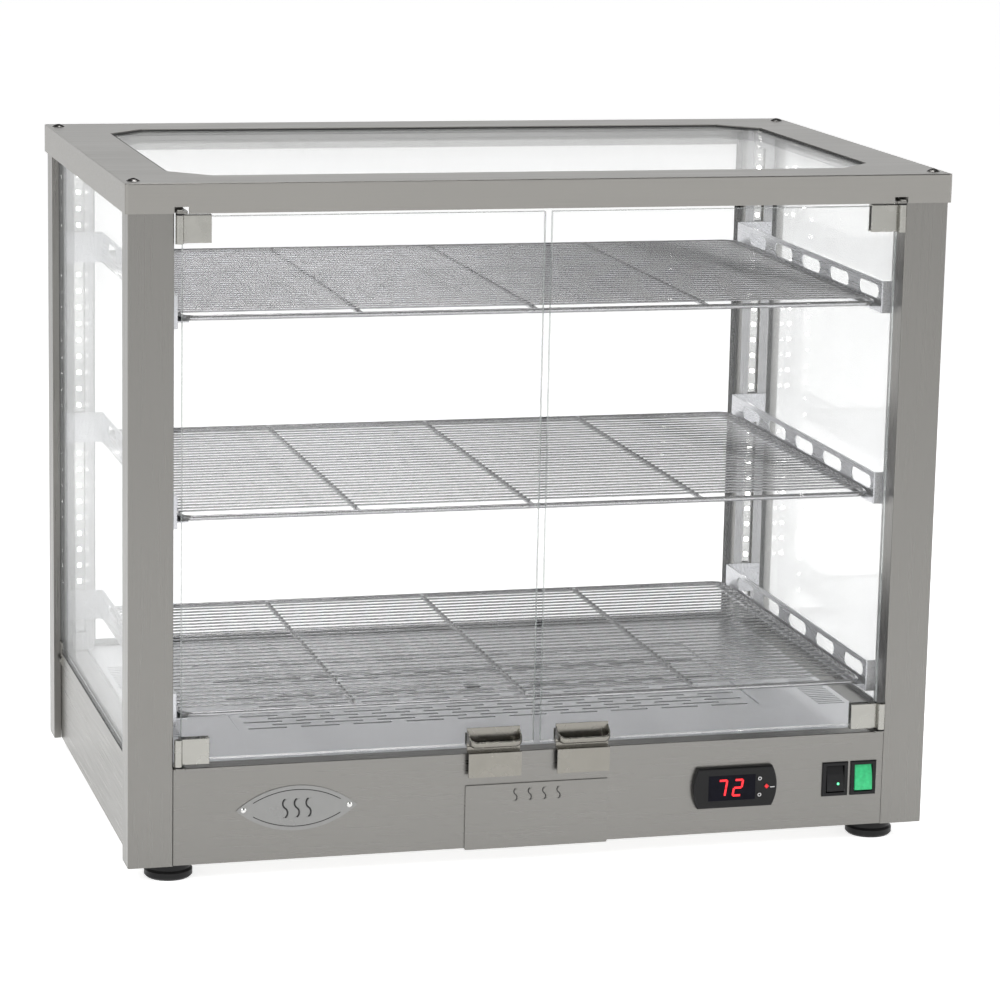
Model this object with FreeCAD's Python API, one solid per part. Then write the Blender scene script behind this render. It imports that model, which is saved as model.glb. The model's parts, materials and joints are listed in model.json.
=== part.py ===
"""Hot food display case: glazed countertop cabinet with hinged doors, wire shelves and a heated base.

Millimetres, +Z up, +X to the right, -Y towards the person who faces the doors.
The origin is on the floor, under the middle of the cabinet.
"""
import FreeCAD, Part
import math
import os

V = FreeCAD.Vector

# ---------------------------------------------------------------- driving dimensions
CAP_WIDTH = 780.0            # outside width of the top frame
CAP_DEPTH = 490.0            # outside depth of the top frame
CAP_TOP = 646.0              # height of the top frame's upper face
CAP_SKIRT = 27.0             # height of the top frame's folded edge
SHEET = 1.0                  # thickness of the stainless sheet
REACH = 256.0                # furthest point to the front and to the back

BASE_TOP = 109.0             # deck and front panel flange
BASE_BOTTOM = 17.0
PANEL_Y = 242.3              # outer face of the front and back base panels
SIDE_X = 380.0               # outer face of the side base panels

POST_X = 387.2               # outer side of the corner posts
POST_WIDTH = 41.7            # front face of a post
POST_SIDE_Y = 212.0          # where the side of a post ends
POST_BOTTOM = 16.4
POST_TOP = CAP_TOP - SHEET - 0.1
POST_IN = POST_X - POST_WIDTH
LINER_Y = 212.3              # face of the plates that close the posts towards the inside

OPEN_X = 338.0               # half width of the opening in the top frame
OPEN_Y = 190.0               # half depth of that opening
OPEN_CORNER = 36.0           # its cut corners

GLASS = 5.0                  # top, back and door panes
SIDE_GLASS = 4.0
BACK_GLASS_Y = 232.0         # inner face of the back pane

DOOR_GAP = 3.0               # from the middle to the edge of each door pane
DOOR_EDGE = 338.0            # outer edge of each door pane
DOOR_BOTTOM = 116.0
DOOR_TOP = 616.0
DOOR_Y = -240.5              # outer face of the door panes
PIVOT_X = 341.2
PIVOT_Y = -244.5
KNUCKLE_R = 3.8
PIN_R = 2.0
FIT = 0.05                   # radial play of pins and axles in their holes

SHELF_Z = (150.6, 335.6, 519.7)   # centre height of each grid's frame rod
SHELF_NAMES = ("bottom", "middle", "top")
GRID_X = 332.0               # half width between the centres of the frame rods
GRID_FRONT = -209.0
GRID_BACK = 213.0
ROD_R = 2.5
WIRE_R = 1.0
WIRE_COUNT = 32
RAIL_X = 336.5
RAIL_Y = 210.5

FOOT_X = 344.8
FOOT_Y = 213.5
FOOT_R = 22.4
FOOT_HEIGHT = 16.0
STEM_R = 4.0

DRAWER_X = 69.5              # half width of the water drawer's front
DRAWER_Z = (15.5, 77.8)
CONTROL_X, CONTROL_Z = 195.0, 62.7
ROCKER_X = (297.3, 326.0)    # mains rocker, lamp rocker
ROCKER_Z = 64.0
BADGE_X, BADGE_Z = -230.0, 66.0
RIVET_X, RIVET_R = 50.0, 1.6     # badge rivets, from the badge's middle
RIVET_HOLE_R = 1.65
HANDLE_X = (17.5, 68.5)
FAN_Y = 120.0
GLAND_X, GLAND_Z = -300.0, 52.0
SCREW_X, SCREW_Y = 379.0, -222.0     # cap screw at the front right corner
HOOK_X = (349.5, 371.3)      # slots in the liners that take the rails' hooks


# ---------------------------------------------------------------- small helpers
def box(x0, x1, y0, y1, z0, z1):
    """A block between two corners."""
    return Part.makeBox(x1 - x0, y1 - y0, z1 - z0, V(x0, y0, z0))


def rod(x, y, z, radius, length, direction):
    """A cylinder that starts at a point and runs along a direction."""
    return Part.makeCylinder(radius, length, V(x, y, z), direction)


def mirror_x(shape):
    return shape.mirror(V(0, 0, 0), V(1, 0, 0))


def mirror_y(shape):
    return shape.mirror(V(0, 0, 0), V(0, 1, 0))


def pair(shape):
    """The shape and its mirror image on the other side, as two solids."""
    return Part.makeCompound([shape, mirror_x(shape)])


def four(shape):
    """The shape at all four corners."""
    return Part.makeCompound([pair(shape), pair(mirror_y(shape))])


def join(*shapes):
    """One solid from shapes that meet."""
    return shapes[0].fuse(list(shapes[1:])).removeSplitter()


def middle(edge):
    return edge.valueAt((edge.FirstParameter + edge.LastParameter) / 2)


def pick(shape, test):
    """The edges whose ends and middle all pass a test."""
    return [e for e in shape.Edges if test(middle(e)) and all(test(v.Point) for v in e.Vertexes)]


def round_edges(shape, radius, test):
    return shape.makeFillet(radius, pick(shape, test))


def round_corners(shape, radius, y):
    """Round the upright corners at the front or back of a block."""
    upright = [e for e in pick(shape, lambda p: near(p.y, y)) if near(middle(e).x, e.Vertexes[0].X)]
    return shape.makeFillet(radius, upright)


def near(a, b):
    return abs(a - b) < 0.05


def outline(half_x, half_y, cut, z):
    """A closed rectangle with cut corners, lying flat."""
    x, y = half_x, half_y
    points = [V(x - cut, -y, z), V(x, -y + cut, z), V(x, y - cut, z), V(x - cut, y, z),
              V(cut - x, y, z), V(-x, y - cut, z), V(-x, cut - y, z), V(cut - x, -y, z)]
    return Part.makePolygon(points + points[:1])


def slot_wire(x0, x1, y, half, z):
    """A closed slot with round ends that runs along X."""
    left, right = x0 + half, x1 - half
    return Part.Wire([
        Part.makeLine(V(left, y - half, z), V(right, y - half, z)),
        Part.Arc(V(right, y - half, z), V(right + half, y, z), V(right, y + half, z)).toShape(),
        Part.makeLine(V(right, y + half, z), V(left, y + half, z)),
        Part.Arc(V(left, y + half, z), V(left - half, y, z), V(left, y - half, z)).toShape()])


def plate(wires, thickness):
    """A flat plate from its outer wire and the wires of its holes, built upwards."""
    face = Part.makeFace(wires, "Part::FaceMakerBullseye")
    return face.extrude(V(0, 0, thickness))


def profile(points, x0, x1):
    """A shape of constant section in Y and Z, from x0 to x1."""
    corners = [V(x0, y, z) for y, z in points]
    face = Part.Face(Part.makePolygon(corners + corners[:1]))
    return face.extrude(V(x1 - x0, 0, 0))


def save(name, shape):
    shape.exportStep("parts/%s.step" % name)


# ---------------------------------------------------------------- carcass
def corner_post():
    """Bent channel for the front right corner, open towards the inside."""
    outer_y = -PANEL_Y
    front = box(POST_IN, POST_X, outer_y, outer_y + SHEET, POST_BOTTOM, POST_TOP)
    side = box(POST_X - SHEET, POST_X, outer_y, -POST_SIDE_Y, POST_BOTTOM, POST_TOP)
    lip = box(SIDE_X + 0.4, POST_X, -POST_SIDE_Y - SHEET, -POST_SIDE_Y, POST_BOTTOM, POST_TOP)
    inner = box(POST_IN, POST_IN + SHEET, outer_y, -LINER_Y - 1.2, POST_BOTTOM, POST_TOP)
    top_tab = box(POST_IN, POST_X - SHEET, outer_y, -POST_SIDE_Y - SHEET, POST_TOP - 1.5, POST_TOP)
    post = join(front, side, lip, inner, top_tab)
    bend = 1.2
    post = round_edges(post, bend, lambda p: near(p.x, POST_X) and near(p.y, outer_y))
    post = round_edges(post, bend, lambda p: near(p.x, POST_IN) and near(p.y, outer_y))
    foot_room = box(POST_IN - 1, POST_IN + 9, -FOOT_Y - 9, -POST_SIDE_Y + 1, POST_BOTTOM - 1, 34)
    screw_hole = rod(SCREW_X, SCREW_Y, POST_TOP - 3, PIN_R + FIT, 5, V(0, 0, 1))
    bracket_slot = box(POST_IN - 1, POST_IN + 2, outer_y - 1, outer_y + 2, 618.8, 622)
    return post.cut(foot_room).cut(screw_hole).cut(bracket_slot)


def liner(rear):
    """Plate with hook slots that closes a right-hand post; the rear one has a window for the lamps."""
    y0, y1 = (LINER_Y, LINER_Y + 1.2) if rear else (-LINER_Y - 1.2, -LINER_Y)
    shape = box(POST_IN + 0.1, 375, y0, y1, BASE_TOP, 640)
    cuts = []
    for z in SHELF_Z:
        for x in HOOK_X:
            cuts.append(box(x - 1.7, x + 1.7, y0 - 1, y1 + 1, z - 4, z + 15))
    if rear:
        cuts.append(box(354.5, 365.5, y0 - 1, y1 + 1, 126, 618))
    return shape.cut(cuts)


def front_panel():
    """Front of the base: a folded sheet with openings for drawer, controller and switches."""
    width = POST_IN - 0.2
    face = box(-width, width, -PANEL_Y, -PANEL_Y + SHEET, BASE_BOTTOM, BASE_TOP)
    top = box(-width, width, -PANEL_Y, -224, BASE_TOP - SHEET, BASE_TOP)
    lip = box(-width, width, -224 - SHEET, -224, BASE_TOP - 9, BASE_TOP)
    shape = join(face, top, lip)
    shape = round_edges(shape, 0.8, lambda p: near(p.y, -PANEL_Y) and near(p.z, BASE_TOP))
    y0, y1 = -PANEL_Y - 1, -PANEL_Y + SHEET + 1
    cuts = [box(-65, 65, y0, y1, 20, 74)]
    cuts.append(box(CONTROL_X - 35.5, CONTROL_X + 35.5, y0, y1, CONTROL_Z - 14.5, CONTROL_Z + 14.5))
    for x in ROCKER_X:
        cuts.append(box(x - 11.2, x + 11.2, y0, y1, ROCKER_Z - 14.2, ROCKER_Z + 14.2))
    for x in (-RIVET_X, RIVET_X):
        cuts.append(rod(BADGE_X + x, y0, BADGE_Z, RIVET_HOLE_R, 3, V(0, 1, 0)))
    return shape.cut(cuts)


def back_panel():
    """Back of the base, with rows of cooling slots and the hole for the cable gland."""
    width = POST_IN - 0.2
    face = box(-width, width, PANEL_Y - SHEET, PANEL_Y, BASE_BOTTOM, BASE_TOP)
    top = box(-width, width, 224, PANEL_Y, BASE_TOP - SHEET, BASE_TOP)
    lip = box(-width, width, 224, 224 + SHEET, BASE_TOP - 9, BASE_TOP)
    shape = join(face, top, lip)
    cuts = [rod(GLAND_X, PANEL_Y - 2, GLAND_Z, 8, 4, V(0, 1, 0))]
    for x in (-60, 0, 60):
        for row in range(4):
            z = 44 + 10 * row
            cuts.append(box(x - 22, x + 22, PANEL_Y - 2, PANEL_Y + 1, z, z + 3))
    return shape.cut(cuts)


def side_panel():
    """Right side of the base, with its flange under the side pane."""
    face = box(SIDE_X - SHEET, SIDE_X, -218, 218, BASE_BOTTOM, BASE_TOP - 2)
    flange = box(352, SIDE_X, -211.5, 211.5, BASE_TOP - 2 - SHEET, BASE_TOP - 2)
    return join(face, flange)


def bottom_plate():
    """Underside of the base, with a threaded collar for each foot."""
    z0, z1 = BASE_BOTTOM, BASE_BOTTOM + SHEET
    shape = box(-378.5, 378.5, -240.8, 240.8, z0, z1)
    slot = box(POST_IN - 0.6, POST_IN + SHEET + 0.6, -241, -219, z0 - 1, z1 + 1)
    side_room = box(377, 380, -219, -211, z0 - 1, z1 + 1)
    shape = shape.cut([four(slot), four(side_room)])
    collar = rod(FOOT_X, FOOT_Y, z0, 7.5, 8, V(0, 0, 1))
    shape = shape.fuse(four(collar).Solids)
    shape = shape.cut(four(rod(FOOT_X, FOOT_Y, z0 - 1, STEM_R + FIT, 12, V(0, 0, 1))))
    vents = [box(x - 20, x + 20, y - 2, y + 2, z0 - 1, z1 + 1)
             for x in (-200, -140, 140, 200) for y in (60, 75, 90, 105, 120)]
    inlet = rod(0, FAN_Y, z0 - 1, 32, 4, V(0, 0, 1))
    return shape.cut(vents + [inlet]).removeSplitter()


PLATE_X, PLATE_Y, PLATE_CUT = 260.0, 130.0, 9.0
PLATE_GAP = 1.2      # open line round the lift-out plate
LOUVRE_PITCH = 6.7


def floor_deck():
    """Cabinet floor: sheet with a sunk ledge for the lift-out plate and slotted fields at the sides."""
    top = BASE_TOP
    louvres = []
    for side in (-1, 1):
        for row in range(-20, 21):
            x0, x1 = sorted((side * 317.5, side * 346.0))
            louvres.append(slot_wire(x0, x1, row * LOUVRE_PITCH, 1.4, top - SHEET))
    hole = outline(PLATE_X + PLATE_GAP, PLATE_Y + PLATE_GAP, PLATE_CUT, top - SHEET)
    rim = Part.makePolygon([V(x, y, top - SHEET) for x, y in (
        (344.8, -223.5), (344.8, -212), (351.4, -212), (351.4, 212), (344.8, 212), (344.8, 223.5),
        (-344.8, 223.5), (-344.8, 212), (-351.4, 212), (-351.4, -212), (-344.8, -212), (-344.8, -223.5),
        (344.8, -223.5))])
    sheet = plate([rim, hole] + louvres, SHEET)
    rim_x, rim_y = PLATE_X + PLATE_GAP + 1, PLATE_Y + PLATE_GAP + 1
    wall = plate([outline(rim_x, rim_y, PLATE_CUT + 0.4, top - 3.4),
                  outline(PLATE_X + PLATE_GAP, PLATE_Y + PLATE_GAP, PLATE_CUT, top - 3.4)], 2.6)
    ledge = plate([outline(rim_x, rim_y, PLATE_CUT + 0.4, top - 3.4),
                   outline(PLATE_X - 8, PLATE_Y - 8, PLATE_CUT - 3, top - 3.4)], 1.0)
    folds = [box(350.4, 351.4, -211.8, 211.8, top - 5, top - 0.5),
             box(-351.4, -350.4, -211.8, 211.8, top - 5, top - 0.5),
             box(-344.8, 344.8, -223.5, -222.5, top - 9, top - 0.5),
             box(-344.8, 344.8, 222.5, 223.5, top - 9, top - 0.5)]
    return join(sheet, wall, ledge, *folds)


SLOT_LENGTH, SLOT_PITCH, SLOT_ROWS = 38.5, 51.5, 22
FINGER_R = 9.5
SLOT_R = 2.2


def floor_plate():
    """Perforated plate that lifts out, with staggered slots and a finger hole."""
    z = BASE_TOP - 2.4
    wires = [outline(PLATE_X, PLATE_Y, PLATE_CUT, z), Part.Wire(Part.makeCircle(FINGER_R, V(0, 0, z)))]
    for row in range(SLOT_ROWS):
        y = (row - (SLOT_ROWS - 1) / 2) * 11.05
        count = 10 - row % 2
        start = -((count - 1) * SLOT_PITCH + SLOT_LENGTH) / 2
        for k in range(count):
            x0 = start + k * SLOT_PITCH
            x1 = x0 + SLOT_LENGTH
            if abs(y) < FINGER_R + 5 and x0 < FINGER_R + 4 and x1 > -FINGER_R - 4:
                continue
            wires.append(slot_wire(x0, x1, y, SLOT_R, z))
    return plate(wires, 1.2)


def top_frame():
    """Cap of folded sheet with a large opening; angle strips below it carry the top pane."""
    x, y = CAP_WIDTH / 2, CAP_DEPTH / 2
    z0, z1 = CAP_TOP - CAP_SKIRT, CAP_TOP
    shell = box(-x, x, -y, y, z0, z1)
    shell = round_edges(shell, 3.0, lambda p: near(abs(p.x), x) and near(abs(p.y), y))
    shell = round_edges(shell, 1.2, lambda p: near(p.z, z1))
    hollow = box(-x + SHEET, x - SHEET, -y + SHEET, y - SHEET, z0 - 1, z1 - SHEET)
    hollow = round_edges(hollow, 2.0, lambda p: near(abs(p.x), x - SHEET) and near(abs(p.y), y - SHEET))
    opening = plate([outline(OPEN_X, OPEN_Y, OPEN_CORNER, z1 - 3)], 5)
    notch = box(333, 346, -y - 1, -y + SHEET + 1, z0 - 1, z0 + 6)
    screw_hole = rod(SCREW_X, SCREW_Y, z1 - 3, PIN_R + FIT, 5, V(0, 0, 1))
    cap = shell.cut([hollow, opening, notch, mirror_x(notch), four(screw_hole)])
    under = z1 - SHEET - GLASS - 1.2
    front = join(box(-334, 334, -205.2, -204, under - 1, z1 - SHEET),
                 box(-334, 334, -205.2, -196, under - 1, under))
    side = join(box(353, 354.2, -192, 192, under - 1, z1 - SHEET),
                box(343, 354.2, -192, 192, under - 1, under))
    return join(cap, front, mirror_y(front), side, mirror_x(side))


def top_pane():
    z0 = CAP_TOP - SHEET - GLASS - 1.1
    return box(-351, 351, -202.5, 202.5, z0, z0 + GLASS)


def top_seal():
    """Flat gasket between the top pane and the cap."""
    z0 = CAP_TOP - SHEET - 1.1
    outer = Part.makePolygon([V(x, y, z0) for x, y in
                              ((351, -202.5), (351, 202.5), (-351, 202.5), (-351, -202.5), (351, -202.5))])
    return plate([outer, outline(OPEN_X - 2.5, OPEN_Y - 2.5, OPEN_CORNER, z0)], 1.1)


def side_pane():
    """Right-hand pane between the front and rear posts."""
    return box(SIDE_X - SIDE_GLASS, SIDE_X, -218, 218, BASE_TOP, 640)


def back_pane():
    return box(-343.5, 343.5, BACK_GLASS_Y, BACK_GLASS_Y + GLASS, BASE_TOP + 1, 640)


SEAL_X = 341.5      # inner edge of the back pane's upright seals


def glass_seals():
    """Channels under the side panes and round the back pane's sides and bottom edge."""
    x0, z0 = SIDE_X - SIDE_GLASS - 0.8, BASE_TOP - 2
    bottom = box(x0, SIDE_X, -211.5, 211.5, z0, z0 + 3.5).cut(side_pane())
    upright = box(SIDE_X, POST_X - SHEET, -218, -213, BASE_TOP, 640)
    y0, y1 = BACK_GLASS_Y - 1.5, BACK_GLASS_Y + GLASS + 1.5
    rear = box(SEAL_X, POST_IN, y0, y1, BASE_TOP, 640)
    sill = box(0.1 - SEAL_X, SEAL_X - 0.1, y0, y1, BASE_TOP, BASE_TOP + 4)
    strips = [strip.cut(back_pane()) for strip in (rear, mirror_x(rear), sill)]
    return Part.makeCompound([pair(bottom), four(upright), *strips])


def glass_clips():
    """Small angle with a screw at the rear lower corner of each side pane."""
    foot = box(SIDE_X, SIDE_X + 1.2, 200, 210, 96, 120)
    head = rod(SIDE_X + 1.2, 205, 101, 3.2, 1.8, V(1, 0, 0))
    return pair(join(foot, head))


def top_screws():
    """Dome-headed screws that hold the cap on the posts."""
    dome = Part.makeSphere(9.7, V(SCREW_X, SCREW_Y, CAP_TOP - 7.2))
    head = dome.common(box(370, 390, -235, -210, CAP_TOP, CAP_TOP + 6))
    shank = rod(SCREW_X, SCREW_Y, CAP_TOP - 12, PIN_R, 12.5, V(0, 0, 1))
    recess = rod(SCREW_X, SCREW_Y, CAP_TOP + 1.3, 1.8, 4, V(0, 0, 1))
    return four(join(head, shank).cut(recess))


# ---------------------------------------------------------------- doors
def hinge_brackets():
    """Tongues that carry the door pins: one through the cap's edge, one on the front panel's flange."""
    tongue = box(334.2, 344.9, -249, -220, 619.4, 621.4)
    tongue = round_corners(tongue, 4.0, -249)
    stem = box(334.2, 344.9, -222, -220, 619.4, CAP_TOP - SHEET)
    upper = join(tongue, stem)
    lower = box(334.2, 344.9, -249, -226, BASE_TOP, BASE_TOP + 1.6)
    lower = round_corners(lower, 4.0, -249)
    hole = rod(PIVOT_X, PIVOT_Y, BASE_TOP - 1, PIN_R, 620, V(0, 0, 1))
    return Part.makeCompound([pair(upper.cut(hole)), pair(lower.cut(hole))])


CLAMP_LOW = (BASE_TOP + 3.0, 137.0)
CLAMP_HIGH = (592.0, 617.6)


def hinge_pins():
    upper = rod(PIVOT_X, PIVOT_Y, CLAMP_HIGH[0] + 2, PIN_R, 621.4 - CLAMP_HIGH[0] - 2, V(0, 0, 1))
    upper = join(upper, rod(PIVOT_X, PIVOT_Y, 621.4, 3.2, 1.2, V(0, 0, 1)))
    lower = rod(PIVOT_X, PIVOT_Y, BASE_TOP, PIN_R, 26, V(0, 0, 1))
    return Part.makeCompound([pair(upper), pair(lower)])


def hinge_washers():
    washers = []
    for z0, z1 in ((BASE_TOP + 1.6, CLAMP_LOW[0]), (CLAMP_HIGH[1], 619.4)):
        ring = rod(PIVOT_X, PIVOT_Y, z0, KNUCKLE_R, z1 - z0, V(0, 0, 1))
        washers.append(pair(ring.cut(rod(PIVOT_X, PIVOT_Y, z0 - 1, PIN_R, 5, V(0, 0, 1)))))
    return Part.makeCompound(washers)


def door_pane():
    pane = box(DOOR_GAP, DOOR_EDGE, DOOR_Y, DOOR_Y + GLASS, DOOR_BOTTOM, DOOR_TOP)
    return pane.makeChamfer(0.6, pick(pane, lambda p: near(p.y, DOOR_Y)))


def door_clamp(z0, z1, pane):
    """Folded clamp over the pane's outer corner, with the knuckle rolled at its edge."""
    body = box(311.8, 339.6, DOOR_Y - 1.5, DOOR_Y + GLASS + 1.5, z0, z1)
    body = round_edges(body, 0.9, lambda p: near(p.y, DOOR_Y - 1.5))
    knuckle = rod(PIVOT_X, PIVOT_Y, z0, KNUCKLE_R, z1 - z0, V(0, 0, 1))
    clamp = join(body, knuckle)
    return clamp.cut([pane, rod(PIVOT_X, PIVOT_Y, z0 - 1, PIN_R + FIT, z1 - z0 + 2, V(0, 0, 1))])


def door_clamps():
    pane = box(DOOR_GAP, DOOR_EDGE, DOOR_Y, DOOR_Y + GLASS, DOOR_BOTTOM, DOOR_TOP)
    return [door_clamp(*CLAMP_LOW, pane), door_clamp(*CLAMP_HIGH, pane)]


SCOOP_BACK_Z, SCOOP_LIP_Z = 131.0, 121.0     # the mouth slants from the pane down to the lip


def door_handle():
    """Folded finger pull: a channel on the pane's lower edge, a scoop above and a magnet flap below."""
    x0, x1 = HANDLE_X
    front, back = DOOR_Y - 1.4, DOOR_Y + GLASS + 1.4
    channel = box(x0, x1, front, back, DOOR_BOTTOM - 1.6, 133)
    channel = channel.cut(box(x0 - 1, x1 + 1, DOOR_Y + GLASS - 0.1, back + 1, 127, 140))
    channel = channel.cut(box(x0 - 1, x1 + 1, DOOR_Y, DOOR_Y + GLASS, DOOR_BOTTOM, 140))
    flap = profile([(front, 115.5), (front, 109.6), (-248.6, 109.6), (-248.6, 87), (-250, 87),
                    (-250, 111), (front - 1.4, 111), (front - 1.4, 115.5)], x0, x1)
    flap = round_edges(flap, 1.2, lambda p: near(p.y, -250) and near(p.z, 111))
    scoop = box(x0, x1, -REACH, front, 116, SCOOP_BACK_Z)
    scoop = round_corners(scoop, 7, -REACH)
    lower_edges = pick(scoop, lambda p: near(p.z, 116))
    scoop = scoop.makeFillet(5, [e for e in lower_edges if middle(e).y < front - 0.5])
    hollow = box(x0 + 1.4, x1 - 1.4, -REACH + 1.4, front, 117.4, SCOOP_BACK_Z + 1)
    hollow = round_corners(hollow, 5.6, -REACH + 1.4)
    floor_edges = pick(hollow, lambda p: near(p.z, 117.4))
    hollow = hollow.makeFillet(3.6, [e for e in floor_edges if middle(e).y < front - 0.5])
    mouth = profile([(front + 1, SCOOP_BACK_Z), (-REACH - 1, SCOOP_LIP_Z), (-REACH - 1, SCOOP_BACK_Z + 5),
                     (front + 1, SCOOP_BACK_Z + 5)], x0 - 1, x1 + 1)
    return join(channel, flap, scoop.cut([hollow, mouth]))


def door_magnets():
    """Magnets on the front panel, under the flaps of the doors."""
    x0, x1 = HANDLE_X
    return pair(box(x0 + 9, x1 - 9, -248.3, -PANEL_Y, 90, 104))


# ---------------------------------------------------------------- shelves
def wire_grid(z):
    """Chromed grid: round frame, three cross rods and thin wires welded on top."""
    corner = 12.0
    x, y0, y1 = GRID_X, GRID_FRONT, GRID_BACK
    rods = []
    for side in (-1, 1):
        rods.append(rod(side * x, y0 + corner, z, ROD_R, y1 - y0 - 2 * corner, V(0, 1, 0)))
    for y in (y0, y1):
        rods.append(rod(corner - x, y, z, ROD_R, 2 * (x - corner), V(1, 0, 0)))
    for cx, cy, start in ((x - corner, y0 + corner, 270), (x - corner, y1 - corner, 0),
                          (corner - x, y1 - corner, 90), (corner - x, y0 + corner, 180)):
        bend = Part.makeTorus(corner, ROD_R, V(0, 0, 0), V(0, 0, 1), 0, 360, 90)
        bend.rotate(V(0, 0, 0), V(0, 0, 1), start)
        bend.translate(V(cx, cy, z))
        rods.append(bend)
    for cx in (-167, 0, 167):
        rods.append(rod(cx, y0, z, ROD_R - 0.1, y1 - y0, V(0, 1, 0)))
    pitch = (y1 - y0 - 34) / (WIRE_COUNT - 1)
    for k in range(WIRE_COUNT):
        rods.append(rod(-x, y0 + 17 + k * pitch, z + ROD_R + 0.6, WIRE_R, 2 * x, V(1, 0, 0)))
    return rods[0].fuse(rods[1:])


def shelf_rail(z):
    """Slotted rail for the right-hand side, with end tabs that hook into the liners."""
    z0, z1 = z - 9.5, z + 21
    web = box(RAIL_X, RAIL_X + 1.2, -RAIL_Y - 1.2, RAIL_Y + 1.2, z0, z1)
    lip = box(RAIL_X - 10.5, RAIL_X + 1.2, -RAIL_Y, RAIL_Y, z - ROD_R - 1.3, z - ROD_R - 0.1)
    tab = box(RAIL_X, 374, -RAIL_Y - 1.2, -RAIL_Y, z0, z1)
    hooks = [box(x - 1.2, x + 1.2, -LINER_Y - 3, -RAIL_Y, z - 1, z + 12) for x in HOOK_X]
    rail = join(web, lip, tab, mirror_y(tab), *(hooks + [mirror_y(h) for h in hooks]))
    rail = round_edges(rail, 1.1, lambda p: near(p.x, RAIL_X) and near(abs(p.y), RAIL_Y + 1.2))
    slots = []
    for k in range(-2, 3):
        y = -15 + 81 * k
        waist = box(RAIL_X - 1, RAIL_X + 3, y - 20, y + 20, z + 3, z + 16)
        ends = [rod(RAIL_X - 1, y + s * 20, z + 9.5, 6.5, 4, V(1, 0, 0)) for s in (-1, 1)]
        slots.append(waist.fuse(ends))
    return rail.cut(slots)


# ---------------------------------------------------------------- lamps and electrics
LAMP_X = 360.0
LED_PITCH = 16.67
LED_COUNT = 28


def led_strip():
    """Channel behind the rear liner with a row of lamp chips."""
    y0 = LINER_Y + 1.2
    channel = box(LAMP_X - 8, LAMP_X + 8, y0, y0 + 5, 124, 620)
    channel = channel.cut(box(LAMP_X - 7, LAMP_X + 7, y0 - 1, y0 + 4, 125, 619))
    chips = []
    for k in range(LED_COUNT):
        z = 147 + k * LED_PITCH
        chips.append(box(LAMP_X - 2.5, LAMP_X + 2.5, y0 + 2.2, y0 + 4, z - 2.5, z + 2.5))
    return join(channel, *chips)


def controller_case():
    """Temperature controller: bezel with bowed ends and a case that reaches into the base."""
    half_x, half_z, bow = 42.0, 19.8, 5.0
    y = -PANEL_Y
    ends = half_x - bow
    shape = Part.Wire([
        Part.makeLine(V(-ends, y, -half_z), V(ends, y, -half_z)),
        Part.Arc(V(ends, y, -half_z), V(half_x, y, 0), V(ends, y, half_z)).toShape(),
        Part.makeLine(V(ends, y, half_z), V(-ends, y, half_z)),
        Part.Arc(V(-ends, y, half_z), V(-half_x, y, 0), V(-ends, y, -half_z)).toShape()])
    bezel = Part.Face(shape).extrude(V(0, -6, 0))
    bezel = round_edges(bezel, 1.8, lambda p: near(p.y, y - 6))
    bezel.translate(V(CONTROL_X, 0, CONTROL_Z))
    case = box(CONTROL_X - 35.2, CONTROL_X + 35.2, y - 1, y + 56, CONTROL_Z - 14.2, CONTROL_Z + 14.2)
    window = box(CONTROL_X - 27, CONTROL_X + 20, y - 7, y - 4.4, CONTROL_Z - 12.4, CONTROL_Z + 12.4)
    keys = [rod(x, y - 7, z, 2.4, 4, V(0, 1, 0)) for x, z in key_places()]
    return join(bezel, case).cut([window] + keys)


def key_places():
    """Centres of the up, set and down keys, as a triangle that points right."""
    return [(CONTROL_X + 24, CONTROL_Z + 8), (CONTROL_X + 31, CONTROL_Z), (CONTROL_X + 24, CONTROL_Z - 8)]


def controller_window():
    y = -PANEL_Y
    return box(CONTROL_X - 26.9, CONTROL_X + 19.9, y - 6.1, y - 4.4, CONTROL_Z - 12.3, CONTROL_Z + 12.3)


def controller_key(x, z):
    key = rod(x, -PANEL_Y - 6.9, z, 2.1, 3.0, V(0, 1, 0))
    return round_edges(key, 0.5, lambda p: near(p.y, -PANEL_Y - 6.9))


ROCKER_PIVOT_Y = -240.5
ROCKER_TILT = 10.0


def switch_housing(x):
    """Rectangular switch body with a raised bezel and two bearing holes for the rocker."""
    y = -PANEL_Y
    bezel = box(x - 13, x + 13, y - 2, y, ROCKER_Z - 16.75, ROCKER_Z + 16.75)
    bezel = round_edges(bezel, 1.0, lambda p: near(p.y, y - 2))
    body = box(x - 11, x + 11, y - 1, y + 24, ROCKER_Z - 14, ROCKER_Z + 14)
    room = box(x - 9.2, x + 9.2, y - 3, y + 12, ROCKER_Z - 13.4, ROCKER_Z + 13.4)
    bearing = rod(x - 10.4, ROCKER_PIVOT_Y, ROCKER_Z, 1.5 + FIT, 20.8, V(1, 0, 0))
    blades = [box(x - 3, x + 3, y + 24, y + 33, ROCKER_Z + dz - 0.4, ROCKER_Z + dz + 0.4)
              for dz in (-8, 0, 8)]
    return join(bezel, body, *blades).cut([room, bearing])


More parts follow.
